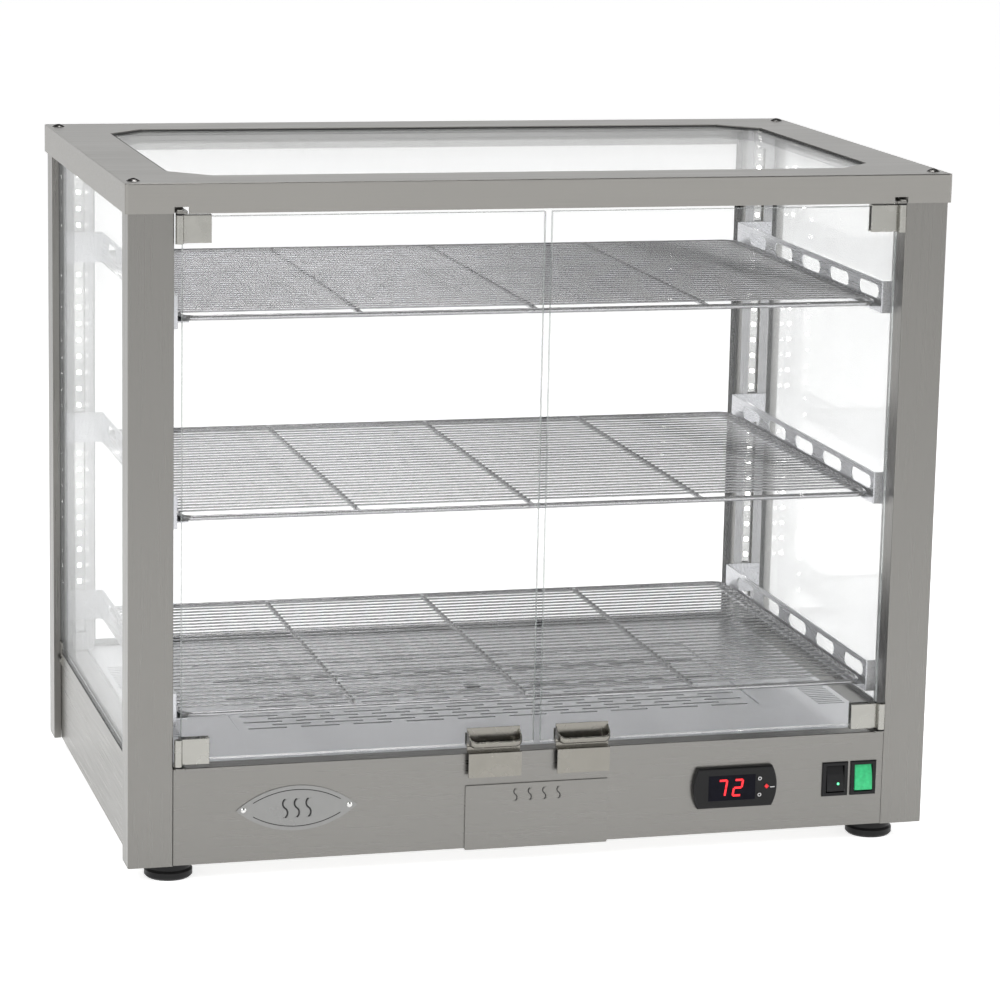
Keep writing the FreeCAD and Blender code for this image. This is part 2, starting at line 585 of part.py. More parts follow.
def rocker(x):
    """Rocker on its axle, at rest with the upper half pressed in."""
    half = 12.4
    points = [(-3.3, -half), (-4.4, -4), (-4.4, 4), (-3.3, half), (0.5, half - 0.6), (5.5, 5), (5.5, -5),
              (0.5, 0.6 - half)]
    body = profile([(ROCKER_PIVOT_Y + y, ROCKER_Z + z) for y, z in points], x - 8.7, x + 8.7)
    body = round_edges(body, 0.5, lambda p: p.y < ROCKER_PIVOT_Y - 3)
    axle = rod(x - 10.3, ROCKER_PIVOT_Y, ROCKER_Z, 1.5, 20.6, V(1, 0, 0))
    shape = join(body, axle)
    shape.rotate(V(x, ROCKER_PIVOT_Y, ROCKER_Z), V(1, 0, 0), -ROCKER_TILT)
    return shape


def cable_gland():
    """Ribbed gland in the back panel; its bore takes the supply cord."""
    axis = V(0, 1, 0)
    nut = rod(GLAND_X, PANEL_Y - 7, GLAND_Z, 11, 6, axis)
    neck = rod(GLAND_X, PANEL_Y - 7, GLAND_Z, 7.9, 9, axis)
    flange = rod(GLAND_X, PANEL_Y, GLAND_Z, 11.5, 4, axis)
    dome = Part.makeCone(10, 7, REACH - PANEL_Y - 4, V(GLAND_X, PANEL_Y + 4, GLAND_Z), axis)
    bore = rod(GLAND_X, PANEL_Y - 8, GLAND_Z, 4.5, 30, axis)
    return join(nut, neck, flange, dome).cut(bore)


def heating_element():
    """Sheathed element bent to a wide U under the floor, with its ends on a bracket strip."""
    radius, bend, z = 4.0, 30.0, 90.0
    x, back, front = 210.0, 190.0, -150.0
    parts = [rod(-x + bend, front, z, radius, 2 * (x - bend), V(1, 0, 0))]
    elbow = Part.makeTorus(bend, radius, V(x - bend, front + bend, z), V(0, 0, 1), 0, 360, 90)
    elbow.rotate(V(x - bend, front + bend, z), V(0, 0, 1), 270)
    leg = rod(x, front + bend, z, radius, back - front - bend, V(0, 1, 0))
    foot = box(x - 8, x + 8, back - 10, back - 8, BASE_BOTTOM + SHEET, z + 8)
    parts += [elbow, leg, foot, mirror_x(elbow), mirror_x(leg), mirror_x(foot)]
    return join(*parts)


def fan_housing():
    """Square shroud on four legs with a bearing post for the rotor."""
    y, z0, z1 = FAN_Y, 42.0, 78.0
    shroud = box(-55, 55, y - 55, y + 55, z0, z1).cut(rod(0, y, z0 - 1, 50, 40, V(0, 0, 1)))
    bars = box(-52, 52, y - 4, y + 4, z0, z0 + 4)
    bars = bars.fuse(box(-4, 4, y - 52, y + 52, z0, z0 + 4))
    boss = rod(0, y, z0, 13, 5, V(0, 0, 1))
    axle = rod(0, y, z0, 3, 30, V(0, 0, 1))
    legs = [rod(sx * 50, y + sy * 50, BASE_BOTTOM + SHEET, 4, z0 - BASE_BOTTOM, V(0, 0, 1))
            for sx in (-1, 1) for sy in (-1, 1)]
    return join(shroud, bars, boss, axle, *legs)


def fan_rotor():
    y, z0 = FAN_Y, 48.0
    hub = rod(0, y, z0, 15, 22, V(0, 0, 1))
    blades = []
    for k in range(7):
        blade = box(12, 46, -1, 1, -9, 9)
        blade.rotate(V(0, 0, 0), V(1, 0, 0), 40)
        blade.rotate(V(0, 0, 0), V(0, 0, 1), k * 360 / 7)
        blade.translate(V(0, y, z0 + 11))
        blades.append(blade)
    return join(hub, *blades).cut(rod(0, y, z0 - 1, 3 + FIT, 30, V(0, 0, 1)))


# ---------------------------------------------------------------- water drawer, badge, feet
def steam_mark(x, z0, height, width):
    """Wavy groove of two opposed arcs, as a cutter from the front."""
    half = height / 2
    sweep = half * 0.62
    cutters = []
    for k, side in ((0, 1), (1, -1)):
        zc = z0 + half * (k + 0.5)
        xc = x - side * math.sqrt(sweep ** 2 - (half / 2) ** 2)
        ring = rod(xc, -REACH, zc, sweep + width / 2, 40, V(0, 1, 0))
        ring = ring.cut(rod(xc, -REACH, zc, sweep - width / 2, 40, V(0, 1, 0)))
        edge = sorted((xc, xc + side * 2 * sweep))
        cutters.append(ring.common(box(edge[0], edge[1], -REACH, 40 - REACH, zc - half / 2, zc + half / 2)))
    return cutters[0].fuse(cutters[1])


def engrave(shape, marks, face_y, depth):
    """Cut marks into a front face to a small depth."""
    layer = box(-400, 400, face_y - 1, face_y + depth, 0, 200)
    return shape.cut([mark.common(layer) for mark in marks])


def drawer_front():
    z0, z1 = DRAWER_Z
    face_y = -PANEL_Y - 1.6
    shape = box(-DRAWER_X, DRAWER_X, face_y, -PANEL_Y - 0.1, z0, z1)
    shape = round_edges(shape, 1.0, lambda p: near(abs(p.x), DRAWER_X) and (near(p.z, z0) or near(p.z, z1)))
    marks = [steam_mark(14 * (k - 1.5), 61, 12, 1.8) for k in range(4)]
    return engrave(shape, marks, face_y, 0.6)


def water_tray():
    """Open tray behind the drawer's front."""
    x, y0, y1, z0, z1 = 62.0, -PANEL_Y - 0.1, -60.0, 22.0, 70.0
    outer = box(-x, x, y0, y1, z0, z1)
    outer = round_corners(outer, 6, y1)
    inner = box(1.2 - x, x - 1.2, y0 + 1.2, y1 - 1.2, z0 + 1.2, z1 + 5)
    inner = round_corners(inner, 4.8, y1 - 1.2)
    return outer.cut(inner)


def badge_plate():
    """Plain lens-shaped plate with three wavy grooves and a hole at each tip."""
    half_x, half_z, y = 57.0, 21.5, -PANEL_Y
    lens = Part.Wire([
        Part.Arc(V(-half_x, y, 0), V(0, y, half_z), V(half_x, y, 0)).toShape(),
        Part.Arc(V(half_x, y, 0), V(0, y, -half_z), V(-half_x, y, 0)).toShape()])
    shape = Part.Face(lens).extrude(V(0, -0.9, 0))
    shape.translate(V(BADGE_X, 0, BADGE_Z))
    holes = [rod(BADGE_X + x, y - 2, BADGE_Z, RIVET_HOLE_R, 4, V(0, 1, 0)) for x in (-RIVET_X, RIVET_X)]
    marks = [steam_mark(BADGE_X + 11 * k, BADGE_Z - 9, 18, 2.2) for k in (-1, 0, 1)]
    return engrave(shape.cut(holes), marks, y - 0.9, 0.4)


def badge_rivets():
    rivets = []
    for x in (-RIVET_X, RIVET_X):
        shank = rod(BADGE_X + x, -PANEL_Y - 1, BADGE_Z, RIVET_R, 4, V(0, 1, 0))
        head = Part.makeSphere(3.4, V(BADGE_X + x, -PANEL_Y + 1.4, BADGE_Z))
        cap = head.common(box(BADGE_X + x - 5, BADGE_X + x + 5, -250, -PANEL_Y - 0.9, 55, 80))
        rivets.append(join(shank, cap))
    return Part.makeCompound(rivets)


def foot():
    """Round foot with a stem that turns in the bottom plate's collar (front right)."""
    ring = [V(0, 0, 0), V(20.5, 0, 0), V(FOOT_R, 0, 2), V(FOOT_R, 0, 7), V(20.5, 0, 9),
            V(20.5, 0, FOOT_HEIGHT), V(STEM_R, 0, FOOT_HEIGHT), V(STEM_R, 0, 30), V(0, 0, 30), V(0, 0, 0)]
    shape = Part.Face(Part.makePolygon(ring)).revolve(V(0, 0, 0), V(0, 0, 1), 360)
    shape.translate(V(FOOT_X, -FOOT_Y, 0))
    return shape


# ---------------------------------------------------------------- write every node
def build():
    os.makedirs("parts", exist_ok=True)
    save("base_front_panel", front_panel())
    save("base_back_panel", back_panel())
    save("base_right_panel", side_panel())
    save("base_left_panel", mirror_x(side_panel()))
    save("base_bottom_plate", bottom_plate())
    save("floor_deck", floor_deck())
    save("floor_plate", floor_plate())

    post = corner_post()
    save("post_front_right", post)
    save("post_front_left", mirror_x(post))
    save("post_rear_right", mirror_y(post))
    save("post_rear_left", mirror_x(mirror_y(post)))
    save("front_liner_plates", pair(liner(False)))
    save("rear_liner_plates", pair(liner(True)))
    save("led_strips", pair(led_strip()))

    save("top_frame", top_frame())
    save("top_glass", top_pane())
    save("top_glass_seal", top_seal())
    save("top_screws", top_screws())
    save("right_side_glass", side_pane())
    save("left_side_glass", mirror_x(side_pane()))
    save("back_glass", back_pane())
    save("glass_seals", glass_seals())
    save("glass_clips", glass_clips())

    save("hinge_brackets", hinge_brackets())
    save("hinge_pins", hinge_pins())
    save("hinge_washers", hinge_washers())
    save("door_magnets", door_magnets())
    for side, turn in (("right", lambda s: s), ("left", mirror_x)):
        save(side + "_door_glass", turn(door_pane()))
        save(side + "_door_clamps", Part.makeCompound([turn(c) for c in door_clamps()]))
        save(side + "_door_handle", turn(door_handle()))

    for name, z in zip(SHELF_NAMES, SHELF_Z):
        save("shelf_rails_" + name, pair(shelf_rail(z)))
        save("grid_" + name, wire_grid(z))

    save("controller_case", controller_case())
    save("controller_window", controller_window())
    for name, (x, z) in zip(("button_up", "button_set", "button_down"), key_places()):
        save(name, controller_key(x, z))
    save("switch_housings", Part.makeCompound([switch_housing(x) for x in ROCKER_X]))
    save("rocker_main", rocker(ROCKER_X[0]))
    save("rocker_lights", rocker(ROCKER_X[1]))
    save("cable_gland", cable_gland())
    save("heating_element", heating_element())
    save("fan_housing", fan_housing())
    save("fan_rotor", fan_rotor())

    save("drawer_front", drawer_front())
    save("water_tray", water_tray())
    save("badge_plate", badge_plate())
    save("badge_rivets", badge_rivets())
    save("foot_front_right", foot())
    save("foot_front_left", mirror_x(foot()))
    save("foot_rear_right", mirror_y(foot()))
    save("foot_rear_left", mirror_x(mirror_y(foot())))


build()
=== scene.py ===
# %% [markdown]
# # A hot food display case
#
# The case is a glazed cabinet on a heated base: bent stainless sheet, clear panes, chromed wire
# shelves and a few black plastic controls. The engineering model is already exact, so this lesson
# adds what an engineer leaves out: how each surface takes light, the polished edge of a pane, the
# round welds of a shelf, the glow of the lamps and of the digits.

# %% Load the engineering model
import bpy
import bmesh
import json
import math
from mathutils import Matrix, Vector


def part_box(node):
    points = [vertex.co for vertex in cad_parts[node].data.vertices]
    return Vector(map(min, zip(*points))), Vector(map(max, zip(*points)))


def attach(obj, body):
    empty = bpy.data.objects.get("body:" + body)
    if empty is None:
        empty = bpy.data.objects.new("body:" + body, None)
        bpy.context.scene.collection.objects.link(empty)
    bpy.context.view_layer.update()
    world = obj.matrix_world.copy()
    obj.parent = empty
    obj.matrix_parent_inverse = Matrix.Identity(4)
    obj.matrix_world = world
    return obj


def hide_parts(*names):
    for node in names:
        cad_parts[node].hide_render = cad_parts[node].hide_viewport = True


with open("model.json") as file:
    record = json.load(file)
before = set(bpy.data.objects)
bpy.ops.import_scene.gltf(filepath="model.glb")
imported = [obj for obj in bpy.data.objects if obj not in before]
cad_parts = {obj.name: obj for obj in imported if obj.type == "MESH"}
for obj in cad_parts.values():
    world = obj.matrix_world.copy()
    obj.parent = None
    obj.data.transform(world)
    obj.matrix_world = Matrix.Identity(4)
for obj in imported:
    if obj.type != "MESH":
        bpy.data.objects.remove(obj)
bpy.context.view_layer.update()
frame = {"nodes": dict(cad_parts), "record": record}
NODES = frame["nodes"]
BODY_OF = {node: body for body, nodes in frame["record"]["behaviour"]["bodies"].items() for node in nodes}
MM = 0.001

# %% [markdown]
# ## Camera
#
# The case is seen from far away through a long lens, so that it keeps its proportions. The camera
# stands to the left of the doors and a little above the roof, and its three turns aim it near the
# middle of the case. The lens is not shifted, so the other views of the model stay centred.

# %% Camera
CAMERA_PLACE = Vector((-0.92596, -3.45009, 1.04824))
CAMERA_TURNS = {"X": -0.207, "Y": -0.269, "Z": -0.021}
LENS_MM = 133.0


def make_camera():
    data = bpy.data.cameras.new("camera")
    data.lens = LENS_MM
    data.clip_start, data.clip_end = 0.1, 100.0
    camera = bpy.data.objects.new("camera", data)
    bpy.context.scene.collection.objects.link(camera)
    swap = Matrix(((1, 0, 0), (0, 0, 1), (0, 1, 0)))
    turn = Matrix.Identity(3)
    for axis in ("Z", "X", "Y"):
        turn = turn @ Matrix.Rotation(CAMERA_TURNS[axis], 3, axis)
    rows = turn @ swap
    right, up, forward = rows[0], rows[1], rows[2]
    facing = Matrix((right, up, -forward)).transposed().to_4x4()
    camera.matrix_world = Matrix.Translation(CAMERA_PLACE) @ facing
    bpy.context.scene.camera = camera
    print("camera looks along", [round(v, 2) for v in forward])


make_camera()

# %% [markdown]
# ## Studio
#
# Polished metal shows its surroundings, so the studio matters as much as the metal. A sheet of white
# paper under the case gives the pale ground. The sky is bright near the horizon and dark overhead,
# which leaves a thin dark line along every chromed rod. Large lamps stand in for softboxes.

# %% Studio
PAPER_SIZE = 60.0


def sky(zenith, horizon):
    """A sky that fades from the horizon to the zenith."""
    world = bpy.data.worlds.new("studio_sky")
    bpy.context.scene.world = world
    world.use_nodes = True
    nodes, links = world.node_tree.nodes, world.node_tree.links
    background = nodes["Background"]
    background.inputs["Color"].default_value = (1, 1, 1, 1)
    place = nodes.new("ShaderNodeTexCoord")
    split = nodes.new("ShaderNodeSeparateXYZ")
    fade = nodes.new("ShaderNodeMapRange")
    fade.inputs["From Min"].default_value = 0.25
    fade.inputs["From Max"].default_value = 0.5
    fade.inputs["To Min"].default_value = horizon
    fade.inputs["To Max"].default_value = zenith
    links.new(place.outputs["Generated"], split.inputs[0])
    links.new(split.outputs["Z"], fade.inputs["Value"])
    links.new(fade.outputs[0], background.inputs["Strength"])


def softbox(name, place, aim, size, power):
    data = bpy.data.lights.new(name, "AREA")
    data.shape, data.size, data.size_y = "RECTANGLE", size[0], size[1]
    data.energy = power
    lamp = bpy.data.objects.new(name, data)
    bpy.context.scene.collection.objects.link(lamp)
    lamp.location = place
    lamp.rotation_mode = "QUATERNION"
    lamp.rotation_quaternion = (Vector(aim) - Vector(place)).to_track_quat("-Z", "Y")


def paper():
    mesh = bpy.data.meshes.new("paper")
    bm = bmesh.new()
    bmesh.ops.create_grid(bm, x_segments=1, y_segments=1, size=PAPER_SIZE / 2)
    bm.to_mesh(mesh)
    bm.free()
    sheet = bpy.data.objects.new("paper", mesh)
    bpy.context.scene.collection.objects.link(sheet)
    white = bpy.data.materials.new("white_paper")
    white.use_nodes = True
    shader = white.node_tree.nodes["Principled BSDF"]
    shader.inputs["Base Color"].default_value = (0.93, 0.93, 0.93, 1)
    shader.inputs["Roughness"].default_value = 0.9
    shader.inputs["Specular IOR Level"].default_value = 0.1
    shader.inputs["Emission Color"].default_value = (1, 1, 1, 1)
    shader.inputs["Emission Strength"].default_value = 0.74
    mesh.materials.append(white)


sky(zenith=0.12, horizon=1.1)
softbox("softbox_left", (-2.6, -2.2, 2.6), (0, 0, 0.3), (1.6, 1.6), 60)
softbox("softbox_right", (2.8, -1.6, 2.0), (0, 0, 0.3), (1.2, 1.8), 28)
softbox("softbox_top", (0.2, 0.4, 3.2), (0, 0, 0.3), (1.2, 0.8), 22)
paper()
bpy.context.scene.view_settings.view_transform = "Standard"

# %% [markdown]
# ## Finishes
#
# Every finish starts from the same four nodes: the object's own coordinates, a mapping that
# stretches them, a noise, and a bump. Brushed steel is that noise pulled out along one direction,
# because the belt that finishes the sheet leaves long parallel scratches. The same recipe with no
# stretch gives the fine grain of moulded plastic or the ripple of a plated wire.

# %% A helper for node materials


class Finish:
    """A node material with one Principled shader and a few short cuts."""

    def __init__(self, name, color, roughness, metallic=0.0):
        self.material = bpy.data.materials.new(name)
        self.material.use_nodes = True
        self.tree = self.material.node_tree
        self.shader = self.tree.nodes["Principled BSDF"]
        self.set("Base Color", (*color, 1))
        self.set("Roughness", roughness)
        self.set("Metallic", metallic)
        self.place = self.tree.nodes.new("ShaderNodeTexCoord")

    def set(self, socket, value):
        self.shader.inputs[socket].default_value = value

    def grain(self, scale, detail=3.0, stretch=(1, 1, 1)):
        """A noise in the object's coordinates, stretched along the axes."""
        mapping = self.tree.nodes.new("ShaderNodeMapping")
        mapping.inputs["Scale"].default_value = [scale * s for s in stretch]
        noise = self.tree.nodes.new("ShaderNodeTexNoise")
        noise.inputs["Scale"].default_value = 1.0
        noise.inputs["Detail"].default_value = detail
        self.tree.links.new(self.place.outputs["Object"], mapping.inputs["Vector"])
        self.tree.links.new(mapping.outputs[0], noise.inputs["Vector"])
        return noise.outputs["Fac"]

    def spread(self, value, low, high):
        """The noise brought from its middle range to low and high."""
        span = self.tree.nodes.new("ShaderNodeMapRange")
        span.inputs["From Min"].default_value = 0.3
        span.inputs["From Max"].default_value = 0.7
        span.inputs["To Min"].default_value = low
        span.inputs["To Max"].default_value = high
        self.tree.links.new(value, span.inputs["Value"])
        return span.outputs[0]

    def tint(self, value, dark, light):
        """The base colour runs between two shades as the value goes from 0 to 1."""
        mix = self.tree.nodes.new("ShaderNodeMix")
        mix.data_type = "RGBA"
        mix.inputs["A"].default_value = (*dark, 1)
        mix.inputs["B"].default_value = (*light, 1)
        self.tree.links.new(value, mix.inputs["Factor"])
        self.tree.links.new(mix.outputs["Result"], self.shader.inputs["Base Color"])

    def link(self, value, socket):
        self.tree.links.new(value, self.shader.inputs[socket])

    def bump(self, value, depth, strength=1.0):
        node = self.tree.nodes.new("ShaderNodeBump")
        node.inputs["Distance"].default_value = depth
        node.inputs["Strength"].default_value = strength
        self.tree.links.new(value, node.inputs["Height"])
        self.tree.links.new(node.outputs[0], self.shader.inputs["Normal"])


def shade(color, factor):
    return tuple(min(1.0, c * factor) for c in color)


# %% [markdown]
# ## Steel
#
# The sheet is satin stainless steel. Its scratches run along the length of each piece: upright on a
# post, from left to right on a panel. Two noises share the work. A very fine one makes the scratches
# and a broad soft one makes the slow change of tone that a real sheet always shows.

# %% Steel finishes


def brushed_steel(name, color, along, roughness=0.30, scratch=0.03):
    """Satin sheet with its scratches along X, Y or Z."""
    finish = Finish(name, color, roughness, metallic=1.0)
    stretch = [1.0 if axis == along else 95.0 for axis in "XYZ"]
    lines = finish.grain(9.0, detail=4.0, stretch=stretch)
    clouds = finish.grain(3.2, detail=2.0)
    both = finish.tree.nodes.new("ShaderNodeMath")
    both.operation = "ADD"
    finish.tree.links.new(finish.spread(lines, 0.0, 0.55), both.inputs[0])
    finish.tree.links.new(finish.spread(clouds, 0.0, 0.45), both.inputs[1])
    finish.tint(both.outputs[0], shade(color, 1 - scratch), shade(color, 1 + scratch))
    finish.link(finish.spread(lines, roughness - 0.05, roughness + 0.07), "Roughness")
    finish.bump(lines, 0.00003, 0.3)
    return finish.material


WARM_STEEL = (0.225, 0.22, 0.208)
CAP_STEEL = (0.30, 0.292, 0.275)
# The deck's colour is far lighter than the other steels: painted light, making up for the brightness its
# reflection loses through the panes.
DECK_STEEL_PAINTED_LIGHT = (0.86, 0.865, 0.89)
RAIL_STEEL = (0.58, 0.585, 0.61)
LINER_STEEL = (0.40, 0.40, 0.41)
steel_across = brushed_steel("steel_brushed_across", WARM_STEEL, "X")
steel_upright = brushed_steel("steel_brushed_upright", WARM_STEEL, "Z")
steel_deep = brushed_steel("steel_brushed_front_to_back", WARM_STEEL, "Y", scratch=0.015)
steel_cap = brushed_steel("steel_brushed_cap", CAP_STEEL, "X", roughness=0.34)
# The floor deck and floor plate take this lighter steel, a painted highlight.
steel_deck_painted_light = brushed_steel("steel_brushed_deck_painted_light", DECK_STEEL_PAINTED_LIGHT, "X", roughness=0.36)
steel_rail = brushed_steel("steel_brushed_rail", RAIL_STEEL, "Y", roughness=0.28, scratch=0.015)
steel_liner = brushed_steel("steel_brushed_liner", LINER_STEEL, "Z", roughness=0.30, scratch=0.015)
print("steels:", [m.name for m in bpy.data.materials if m.name.startswith("steel")])


# %% [markdown]
# Small fittings are polished, not brushed, and the shelves are plated with bright chrome. Both keep
# a faint ripple, because a perfect mirror looks like plastic.

# %% Polished and plated finishes


def polished_metal(name, color, roughness, ripple):
    finish = Finish(name, color, roughness, metallic=1.0)
    wave = finish.grain(60.0, detail=2.0)
    finish.tint(finish.spread(wave, 0, 1), shade(color, 0.94), shade(color, 1.05))
    finish.link(finish.spread(wave, roughness * 0.8, roughness * 1.4), "Roughness")
    finish.bump(wave, ripple, 0.4)
    return finish.material


polished_steel = polished_metal("polished_steel", (0.25, 0.24, 0.215), 0.22, 0.00004)
clamp_steel = polished_metal("clamp_steel", (0.36, 0.355, 0.33), 0.24, 0.00004)
dark_screw = polished_metal("dark_screw", (0.16, 0.155, 0.15), 0.22, 0.0001)
bright_screw = polished_metal("bright_screw", (0.66, 0.66, 0.65), 0.16, 0.0001)
chrome_plate = polished_metal("chrome_plate", (0.42, 0.42, 0.43), 0.06, 0.00003)
satin_plate = polished_metal("satin_badge_plate", (0.26, 0.26, 0.255), 0.32, 0.00004)
sheath_metal = polished_metal("dark_element_sheath", (0.13, 0.12, 0.11), 0.45, 0.0002)

# %% [markdown]
# ## Plastics and rubber
#
# Moulded parts copy the texture of their mould, so their bump is an even grain. Rubber is duller
# and its grain is softer. The window, the set key's red diamond and the lens of the light switch are
# smooth and clear-coated.

# %% Plastic and rubber finishes


def moulded(name, color, roughness, grain, depth):
    finish = Finish(name, color, roughness)
    speckle = finish.grain(grain, detail=3.0)
    finish.tint(finish.spread(speckle, 0, 1), shade(color, 0.8), shade(color, 1.25))
    finish.link(finish.spread(speckle, roughness - 0.07, roughness + 0.07), "Roughness")
    finish.bump(speckle, depth, 0.5)
    return finish


black_plastic = moulded("black_moulded_plastic", (0.008, 0.008, 0.0085), 0.34, 1500.0, 0.00002)
black_plastic.set("Specular IOR Level", 0.22)
black_plastic = black_plastic.material
foot_rubber = moulded("black_foot_rubber", (0.007, 0.007, 0.0075), 0.42, 700.0, 0.00004)
foot_rubber.set("Specular IOR Level", 0.25)
foot_rubber = foot_rubber.material
seal_rubber = moulded("black_seal_rubber", (0.016, 0.016, 0.016), 0.62, 900.0, 0.00005).material
magnet_black = moulded("magnet_block", (0.03, 0.03, 0.03), 0.5, 1100.0, 0.00004).material


def clear_coated(name, color, glow=0.0, coat=0.5):
    finish = moulded(name, color, 0.16, 220.0, 0.00001)
    finish.set("Specular IOR Level", 0.05)
    finish.set("Coat Weight", coat)
    finish.set("Coat Roughness", 0.05)
    if glow:
        finish.set("Emission Color", (*color, 1))
        finish.set("Emission Strength", glow)
    return finish.material


smoked_window = clear_coated("smoked_window", (0.005, 0.005, 0.009), coat=0.04)
# The red diamond is print, not a lamp; its small glow is painted light that keeps it bright red.
red_key_painted_glow = clear_coated("red_key_painted_glow", (0.62, 0.02, 0.025), glow=0.35)
green_lens = clear_coated("green_lens", (0.03, 0.36, 0.14), glow=0.42)
print("plastics ready")


# %% [markdown]
# ## Light that the case makes itself
#
# The lamp strips, the red digits and the green pilot light glow. Their shader is still a Principled
# one, with emission on top, so an exported model keeps the colour. The strength varies slightly over
# each chip, as a phosphor does.

# %% Glowing finishes


def glowing(name, color, strength):
    finish = Finish(name, color, 0.35)
    patch = finish.grain(400.0, detail=1.0)
    finish.tint(finish.spread(patch, 0, 1), shade(color, 0.85), color)
    finish.set("Emission Color", (*color, 1))
    finish.link(finish.spread(patch, strength * 0.9, strength * 1.1), "Emission Strength")
    return finish.material


lamp_white = glowing("lamp_white", (1.0, 0.99, 0.96), 14.0)
digit_red = glowing("digit_red", (0.9, 0.012, 0.02), 0.95)
pilot_green = glowing("pilot_green", (0.12, 0.85, 0.35), 1.3)
mark_white = moulded("printed_white", (0.75, 0.75, 0.75), 0.5, 800.0, 0.00001).material
mark_black = moulded("printed_black", (0.012, 0.012, 0.012), 0.6, 800.0, 0.00001).material

# %% [markdown]
# ## Glass
#
# A pane this thin hardly bends the light, so most of it passes straight through. The small opacity
# that is left rises at grazing angles, which is where a pane starts to look milky.
# The cut edge is another matter: light gathers there, so it gets a denser, greenish finish of its own.

# %% Glass finishes


def pane_glass(name, color, clearest, most):
    """Clear sheet: opacity goes from clearest, seen square on, to most, seen along the surface."""
    finish = Finish(name, color, 0.02)
    finish.set("IOR", 1.5)
    finish.set("Transmission Weight", 0.4)
    slant = finish.tree.nodes.new("ShaderNodeLayerWeight")
    slant.inputs["Blend"].default_value = 0.25
    span = finish.tree.nodes.new("ShaderNodeMapRange")
    span.inputs["To Min"].default_value = clearest
    span.inputs["To Max"].default_value = most
    finish.tree.links.new(slant.outputs["Fresnel"], span.inputs["Value"])
    finish.link(span.outputs[0], "Alpha")
    haze = finish.grain(2.5, detail=2.0)
    finish.link(finish.spread(haze, 0.015, 0.05), "Roughness")
    return finish.material


clear_glass = pane_glass("clear_glass", (0.97, 0.985, 0.98), 0.05, 0.5)
edge_glass = pane_glass("polished_glass_edge", (0.30, 0.33, 0.32), 0.55, 0.9)
# A much lighter copy of the edge finish: a painted highlight for the lower edge of each door.
painted_highlight_edge = pane_glass("glass_edge_painted_highlight", (0.95, 0.96, 0.97), 0.8, 0.95)

# %% [markdown]
# ## Dressing the engineering model
#
# Most of the sheet metal already has its final shape, so it only changes clothes. Each node name is
# matched with the finish of the real piece, with the scratches along that piece's length.

# %% Dress the nodes
DRESS = {
    steel_across: ["base_front_panel", "base_back_panel", "base_bottom_plate", "drawer_front", "water_tray",
                   "hinge_brackets"],
    steel_upright: ["post_front_left", "post_front_right", "post_rear_left", "post_rear_right"],
    steel_deep: ["base_left_panel", "base_right_panel"],
    steel_cap: ["top_frame"],
    steel_deck_painted_light: ["floor_deck", "floor_plate"],
    steel_rail: ["shelf_rails_top", "shelf_rails_middle", "shelf_rails_bottom"],
    steel_liner: ["front_liner_plates", "rear_liner_plates"],
    polished_steel: ["left_door_handle", "right_door_handle"],
    clamp_steel: ["left_door_clamps", "right_door_clamps", "hinge_pins", "glass_clips"],
    dark_screw: ["top_screws"],
    bright_screw: ["badge_rivets"],
    satin_plate: ["badge_plate"],
    sheath_metal: ["heating_element"],
    seal_rubber: ["glass_seals", "top_glass_seal"],
    foot_rubber: ["foot_front_left", "foot_front_right", "foot_rear_left", "foot_rear_right"],
    black_plastic: ["controller_case", "switch_housings", "rocker_main", "cable_gland", "fan_housing",
                    "fan_rotor", "hinge_washers"],
    magnet_black: ["door_magnets"],
    smoked_window: ["controller_window"],
    green_lens: ["rocker_lights"],
}


def dress(node, material):
    mesh = NODES[node].data
    mesh.materials.clear()
    mesh.materials.append(material)


for material, names in DRESS.items():
    for name in names:
        dress(name, material)
print("dressed:", sum(len(names) for names in DRESS.values()))

# %% [markdown]
# ## Tools for new pieces
#
# A new piece starts as an empty bmesh. Simple operators fill it: a block with rounded edges, or a bar
# between two points. `finish_piece` turns it into an object, dresses it and hangs it on the body it
# moves with.

# %% Tools for new pieces


def block(bm, low, high, bevel=0.0, segments=2):
    """A block between two corners, its edges rounded."""
    low, high = Vector(low), Vector(high)
    place = Matrix.Translation((low + high) / 2) @ Matrix.Diagonal((*(high - low), 1.0))
    made = bmesh.ops.create_cube(bm, size=1.0, matrix=place)["verts"]
    if bevel:
        edges = list({e for v in made for e in v.link_edges})
        bmesh.ops.bevel(bm, geom=edges, offset=bevel, segments=segments, profile=0.5, affect="EDGES",
                        material=-1)
    return made


def bar(bm, start, end, radius, sides, end_radius=None):
    """A round bar from one point to another, or a cone if its end has another radius."""
    start, end = Vector(start), Vector(end)
    axis = end - start
    place = Matrix.Translation((start + end) / 2) @ axis.to_track_quat("Z", "Y").to_matrix().to_4x4()
    return bmesh.ops.create_cone(bm, cap_ends=True, segments=sides, radius1=radius,
                                 radius2=radius if end_radius is None else end_radius,
                                 depth=axis.length, matrix=place)["verts"]


def finish_piece(name, bm, material, body, replaces=(), smooth_below=40):
    """Turn a bmesh into a finished piece that rides on a body."""
    mesh = bpy.data.meshes.new(name)
    bm.to_mesh(mesh)
    bm.free()
    materials = material if isinstance(material, list) else [material]
    for one in materials:
        mesh.materials.append(one)
    mesh.shade_smooth()
    mesh.set_sharp_from_angle(angle=math.radians(smooth_below))
    piece = bpy.data.objects.new(name, mesh)
    bpy.context.scene.collection.objects.link(piece)
    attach(piece, body)
    if replaces:
        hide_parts(*replaces)
    print(name, len(mesh.polygons), "faces on", body)
    return piece


# %% [markdown]
# ## Panes
#
# Each pane is a block with a small bevel, because toughened glass is always ground along its edge.
# The six sides of the block know their direction, so the two large faces take the clear finish and
# the thin ones take the edge finish. The lower edge of a door gets a painted highlight: a much
# lighter copy of the edge finish, standing in for the light it catches.

# %% Panes
EDGE_BEVEL = 0.0006


